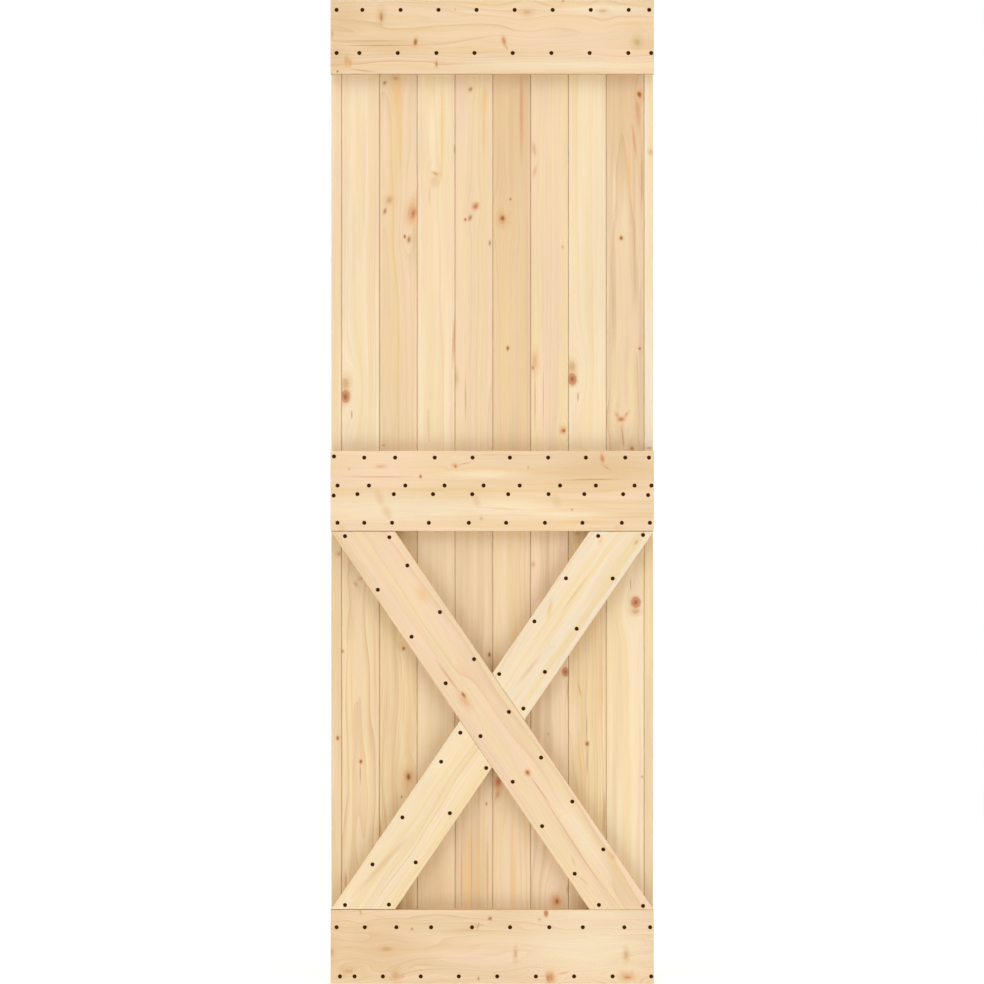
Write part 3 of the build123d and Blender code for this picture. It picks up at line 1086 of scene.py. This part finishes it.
RAILS = (
    Plank("top_rail", T.SAND, T.HONEY, T.PEACH, 21, LogCut(0.01, 0.05, 0.007, 0.01, 0.009, 0.8), (
        K.TAN_STRIPE.at(x=342, y=20, wide=60, tall=60),
        K.TAN_STRIPE.at(x=337, y=54, wide=34, tall=46),
        K.CREAM_STRIPE.at(x=604, y=9, wide=120, tall=13),
        K.PINK_STRIPE.at(x=570, y=40, wide=180, tall=40),
        K.TAN_STRIPE.at(x=384, y=44, wide=120, tall=26),
        K.CREAM_STRIPE.at(x=560, y=64, wide=260, tall=15),
        K.TAN_KNOT.at(x=380.8, y=15, wide=9, tall=15),
        K.DARK_KNOT.at(x=380.8, y=17, wide=3, tall=9),
        K.TAN_KNOT.at(x=454.5, y=9, wide=2.2, tall=3.4),
        K.BROWN_KNOT.at(x=415, y=41.6, wide=4, tall=7.6, turn=-8),
        K.BROWN_LINE.at(x=378, y=45, wide=72, tall=1.3),
        K.BROWN_LINE.at(x=372, y=40.5, wide=60, tall=0.9),
        K.RED_STREAK.at(x=346, y=60.4, wide=5, tall=12),
        K.RED_STREAK.at(x=349.6, y=62, wide=3.6, tall=9),
        K.ORANGE_STRIPE.at(x=348, y=61, wide=14, tall=16),
        K.RED_STREAK.at(x=362, y=70, wide=28, tall=2.4, turn=-6),
        K.DARK_KNOT.at(x=436, y=63.5, wide=2.6, tall=6),
        K.TAN_KNOT.at(x=332, y=33, wide=3, tall=7),
        K.BROWN_KNOT.at(x=337, y=71, wide=2, tall=2.6),
        K.TAN_KNOT.at(x=526.4, y=11.6, wide=12, tall=7.4),
        K.DARK_KNOT.at(x=562.5, y=0.4, wide=2.4, tall=2.4),
        K.ROSE_KNOT.at(x=503.4, y=40.4, wide=4.4, tall=10, turn=12),
        K.RED_STREAK.at(x=506, y=47, wide=2.4, tall=7, turn=25),
        K.TAN_KNOT.at(x=636.6, y=41.6, wide=11, tall=13, turn=5),
        K.TAN_KNOT.at(x=602, y=10.4, wide=12, tall=4),
    )),
    Plank("middle_rail", T.PEACH, T.HONEY, T.SAND, 22,
          LogCut(0.02, 0.05, 0.008, 0.008, 0.008, 0.35), (
        K.CREAM_STRIPE.at(x=390, y=508, wide=200, tall=36),
        K.CREAM_STRIPE.at(x=430, y=509, wide=150, tall=26),
        K.CREAM_STRIPE.at(x=500, y=507, wide=150, tall=24),
        K.CREAM_STRIPE.at(x=560, y=514, wide=130, tall=10),
        K.CREAM_STRIPE.at(x=482, y=474, wide=110, tall=10),
        K.PINK_STRIPE.at(x=380, y=471, wide=130, tall=50),
        K.TAN_STRIPE.at(x=604, y=470, wide=140, tall=50),
        K.ORANGE_STRIPE.at(x=580, y=522, wide=90, tall=5),
        K.TAN_KNOT.at(x=348.7, y=468.5, wide=2.6, tall=2.6),
        K.PINK_KNOT.at(x=380, y=466, wide=12, tall=5),
        K.TAN_KNOT.at(x=454.5, y=464.6, wide=8, tall=5),
        K.BROWN_KNOT.at(x=455, y=466, wide=2.2, tall=3),
        K.RED_STREAK.at(x=464, y=463, wide=14, tall=1.8, turn=10),
        K.BROWN_KNOT.at(x=420, y=476, wide=2.6, tall=3.6),
        K.RED_STREAK.at(x=378, y=476.3, wide=80, tall=1.6),
        K.TAN_STRIPE.at(x=379, y=497, wide=10, tall=24, turn=22),
        K.TAN_STRIPE.at(x=386, y=511, wide=12, tall=15, turn=30),
        K.TAN_STRIPE.at(x=388.5, y=516, wide=8, tall=7),
        K.ORANGE_STRIPE.at(x=341, y=527.6, wide=9, tall=8),
        K.TAN_STRIPE.at(x=475.5, y=500, wide=9, tall=19, turn=24),
        K.TAN_KNOT.at(x=480.7, y=518, wide=3.6, tall=3.6),
        K.TAN_STRIPE.at(x=603, y=460, wide=10, tall=18, turn=14),
        K.ROSE_KNOT.at(x=601.8, y=458, wide=4.4, tall=10, turn=8),
        K.RED_STREAK.at(x=606, y=467, wide=13, tall=3, turn=-30),
        K.TAN_KNOT.at(x=527.7, y=467, wide=2.6, tall=3.6),
        K.TAN_STRIPE.at(x=556, y=500, wide=12, tall=18, turn=28),
        K.TAN_STRIPE.at(x=500, y=508, wide=60, tall=2, turn=-3),
        K.DARK_KNOT.at(x=571.5, y=509, wide=1.6, tall=2.2),
        K.BROWN_LINE.at(x=592, y=479, wide=56, tall=1.4, turn=1),
        K.ORANGE_STRIPE.at(x=617, y=527.6, wide=10, tall=8),
    )),
    Plank("bottom_rail", T.SAND, T.WHEAT, T.PEACH, 23,
          LogCut(0.005, 0.045, 0.0042, 0.02, 0.015, 0.85), (
        K.CREAM_STRIPE.at(x=590, y=948, wide=180, tall=70),
        K.TAN_STRIPE.at(x=370, y=948, wide=130, tall=80),
        K.TAN_STRIPE.at(x=334, y=940, wide=36, tall=100),
        K.CREAM_STRIPE.at(x=590, y=914, wide=170, tall=15),
        K.CREAM_STRIPE.at(x=575, y=952, wide=110, tall=24),
        K.PINK_STRIPE.at(x=490, y=958, wide=130, tall=34),
        K.TAN_KNOT.at(x=360, y=911, wide=8, tall=3, turn=-80),
        K.TAN_STRIPE.at(x=378, y=916, wide=26, tall=3, turn=-12),
        K.TAN_KNOT.at(x=386, y=948, wide=16, tall=7),
        K.RED_STREAK.at(x=386, y=949.4, wide=14, tall=4),
        K.TAN_KNOT.at(x=331.4, y=952, wide=6, tall=15),
        K.TAN_KNOT.at(x=347.6, y=970.6, wide=13, tall=8),
        K.BROWN_LINE.at(x=346, y=971, wide=5, tall=1.6),
        K.BROWN_LINE.at(x=351, y=970, wide=1.6, tall=5, turn=-20),
        K.DARK_KNOT.at(x=411.5, y=928.5, wide=2.2, tall=3),
        K.TAN_KNOT.at(x=395, y=974.6, wide=12, tall=14),
        K.BROWN_KNOT.at(x=489.6, y=918, wide=4, tall=3.6),
        K.BROWN_LINE.at(x=477.5, y=926, wide=1.4, tall=9, turn=-14),
        K.DARK_KNOT.at(x=478, y=978, wide=2.2, tall=4),
        K.RED_KNOT.at(x=545.6, y=913, wide=4.4, tall=7),
        K.TAN_KNOT.at(x=539, y=919, wide=3.4, tall=3),
        K.ROSE_KNOT.at(x=550, y=977, wide=8.6, tall=12),
        K.DARK_KNOT.at(x=547.4, y=977.6, wide=3, tall=9, turn=8),
        K.RED_STREAK.at(x=563, y=972.5, wide=14, tall=2.6, turn=12),
        K.TAN_KNOT.at(x=625, y=976, wide=13, tall=9),
        K.PINK_KNOT.at(x=629, y=976, wide=13, tall=8),
        K.ROSE_KNOT.at(x=627, y=977, wide=9, tall=4.4),
        K.TAN_KNOT.at(x=625.6, y=954.7, wide=6.6, tall=14),
        K.TAN_KNOT.at(x=515, y=953, wide=5, tall=14),
    )),
)

FALLING_BRACE = (
    Plank("through_brace", T.PEACH, T.SAND, T.STRAW, 24,
          LogCut(0.03, 0.05, 0.006, 0.004, 0.006, 0.4), (
        K.BROWN_KNOT.at(x=463, y=694.4, wide=3, tall=7, turn=35),
        K.PINK_KNOT.at(x=464, y=700, wide=10, tall=20, turn=35),
        K.RED_STREAK.at(x=448, y=677, wide=3, tall=42, turn=36),
        K.ROSE_KNOT.at(x=527.3, y=772.4, wide=5, tall=6, turn=35),
        K.BROWN_KNOT.at(x=527, y=772, wide=4, tall=5, turn=35),
        K.BROWN_LINE.at(x=540, y=790, wide=1.1, tall=36, turn=35),
        K.RED_STREAK.at(x=571, y=840, wide=1.4, tall=162, turn=33),
        K.TAN_STRIPE.at(x=573, y=861.5, wide=4, tall=14, turn=20),
        K.TAN_STRIPE.at(x=583, y=880, wide=4, tall=16, turn=45),
        K.PINK_KNOT.at(x=612, y=856, wide=5, tall=12, turn=30),
        K.ORANGE_STRIPE.at(x=422, y=594, wide=14, tall=22, turn=35),
        K.ORANGE_STRIPE.at(x=337, y=538, wide=7, tall=16, turn=35),
        K.TAN_STRIPE.at(x=352, y=560, wide=2, tall=60, turn=35),
        K.TAN_STRIPE.at(x=594, y=874, wide=1.6, tall=150, turn=37),
        K.CREAM_STRIPE.at(x=580, y=832, wide=18, tall=130, turn=34),
    )),
)

RISING_BRACES = (
    Plank("upper_half_brace", T.CREAM, T.STRAW, T.IVORY, 25,
          LogCut(0.02, 0.05, 0.006, 0.006, 0.008, 0.45), (
        K.ORANGE_STRIPE.at(x=600, y=539.5, wide=6, tall=13, turn=-25),
        K.TAN_KNOT.at(x=635.7, y=541.7, wide=3, tall=6, turn=-35),
        K.ORANGE_STRIPE.at(x=549.5, y=608, wide=5, tall=24, turn=-14),
        K.TAN_STRIPE.at(x=528, y=670, wide=5, tall=44, turn=-38),
        K.TAN_STRIPE.at(x=575, y=592, wide=3, tall=60, turn=-36),
    )),
    Plank("lower_half_brace", T.CREAM, T.STRAW, T.CREAM, 26,
          LogCut(0.02, 0.05, 0.006, 0.006, 0.008, 0.45), (
        K.TAN_STRIPE.at(x=383, y=863, wide=7, tall=84, turn=-43),
        K.TAN_STRIPE.at(x=377, y=869, wide=3, tall=64, turn=-43),
    )),
)


@dataclass
class ScrewSet:
    """The leaf's countersunk wood screws.

    Attributes:
        ending: How the names of their CAD nodes end.
        finish: Their finish.
    """

    ending: str = "_screws"
    finish: DarkOxideFinish = DarkOxideFinish()

    def dress(self) -> None:
        """Gives all the screws one material."""
        material = self.finish.material()
        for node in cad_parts:
            if node.endswith(self.ending):
                dress(node, material)


@dataclass(frozen=True)
class Surround:
    """White surroundings. Most of their light comes from round about the leaf, little straight on.

    Attributes:
        straight: Strength of the light from straight ahead of the leaf's faces.
        ring: Strength that the light gains round about.
        inner: Cosines to the leaf's thickness where that gain begins and is full.
        outer: Cosines, towards the leaf's own plane, where it begins and is full.
    """

    straight: float = 0.05
    ring: float = 1.72
    inner: tuple[float, float] = (1.0, 0.55)
    outer: tuple[float, float] = (0.05, 0.4)

    def world(self) -> bpy.types.World:
        """Makes the world, which is plain white where it is seen.

        Returns:
            The world.
        """
        world = bpy.data.worlds.new("white_surround")
        world.use_nodes = True
        graph = NodeGraph(world.node_tree)
        way = graph.node("ShaderNodeTexCoord").outputs["Object"]
        cosine = graph.math("ABSOLUTE", graph.axis(way, "Y"))
        ring = graph.fade(cosine, *self.inner, self.ring) * graph.fade(cosine, *self.outer)
        light = ring + self.straight
        strength = light + graph.seen() * (1.0 - light)
        shine = graph.node("ShaderNodeBackground", None, {"Color": WHITE, "Strength": strength})
        graph.node("ShaderNodeOutputWorld", None, {"Surface": shine.outputs[0]})
        return world


@dataclass(frozen=True)
class PaleFloorFinish:
    """The studio's pale floor, which shows white where nothing shades it.

    Attributes:
        tint: Its brightness under the studio's light.
        white: The brightness that it shows to the camera.
    """

    tint: float = 0.9
    white: float = 1.05

    def material(self) -> Material:
        """Makes the floor's material.

        Returns:
            The material.
        """
        graph = FinishGraph("pale_floor")
        matt = graph.node("ShaderNodeBsdfDiffuse", None, {"Color": (self.tint,) * 3 + (1.0,)})
        lift = graph.seen() * (self.white - self.tint)
        glow = graph.node("ShaderNodeEmission", None, {"Strength": lift})
        both = graph.node("ShaderNodeAddShader", None, {0: matt.outputs[0], 1: glow.outputs[0]})
        return graph.close(both)


@dataclass
class Studio:
    """The pale floor, the white surroundings and the camera.

    Attributes:
        camera_distance: From the rails' front to the camera, in metres.
        camera_reach: How far the camera sees, in metres.
        sensor: Width of the camera's sensor, in millimetres.
        floor_reach: Half the floor's width and depth, in metres.
        surround: The surroundings.
        floor_finish: The floor's finish.
    """

    camera_distance: float = 12.0
    camera_reach: float = 100.0
    sensor: float = 36.0
    floor_reach: float = 6.0
    surround: Surround = Surround()
    floor_finish: PaleFloorFinish = PaleFloorFinish()

    def light(self) -> None:
        """Lights the leaf from all sides."""
        bpy.context.scene.world = self.surround.world()

    def lay_floor(self) -> None:
        """Lays the floor under the leaf."""
        shape = bmesh.new()
        bmesh.ops.create_grid(shape, x_segments=1, y_segments=1, size=self.floor_reach)
        mesh = bpy.data.meshes.new("floor")
        shape.to_mesh(mesh)
        shape.free()
        floor = bpy.data.objects.new("floor", mesh)
        bpy.context.scene.collection.objects.link(floor)
        mesh.materials.append(self.floor_finish.material())
        floor.visible_diffuse = False
        floor.visible_shadow = False
        floor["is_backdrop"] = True

    def set_camera(self, front: float) -> None:
        """Places the camera straight in front of the leaf.

        Args:
            front: Where the rails' front lies along Y, in metres.
        """
        lens = bpy.data.cameras.new("camera")
        lens.sensor_width = self.sensor
        lens.lens = self.sensor * self.camera_distance / PHOTO.leaf_height
        lens.clip_end = self.camera_reach
        camera = bpy.data.objects.new("camera", lens)
        camera.location = (
            (PHOTO.side / 2 - PHOTO.axis) * PHOTO.pixel,
            front - self.camera_distance,
            PHOTO.leaf_height / 2,
        )
        camera.rotation_euler = (math.pi / 2, 0.0, 0.0)
        bpy.context.scene.collection.objects.link(camera)
        bpy.context.scene.camera = camera


def main() -> None:
    """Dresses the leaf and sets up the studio."""
    logging.basicConfig(level=logging.INFO, format="%(message)s")
    cad_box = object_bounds()
    studio = Studio()
    studio.set_camera(cad_box[0].y)
    studio.light()
    studio.lay_floor()
    PlankSet(UPRIGHT, UPPER_BOARDS).dress()
    PlankSet(UPRIGHT, LOWER_BOARDS).dress()
    PlankSet(LEVEL, RAILS).dress()
    PlankSet(-BRACE_SLOPE, FALLING_BRACE).dress()
    PlankSet(BRACE_SLOPE, RISING_BRACES).dress()
    ScrewSet().dress()
    bpy.context.scene.view_settings.view_transform = "Standard"


if __name__ == "__main__":
    main()
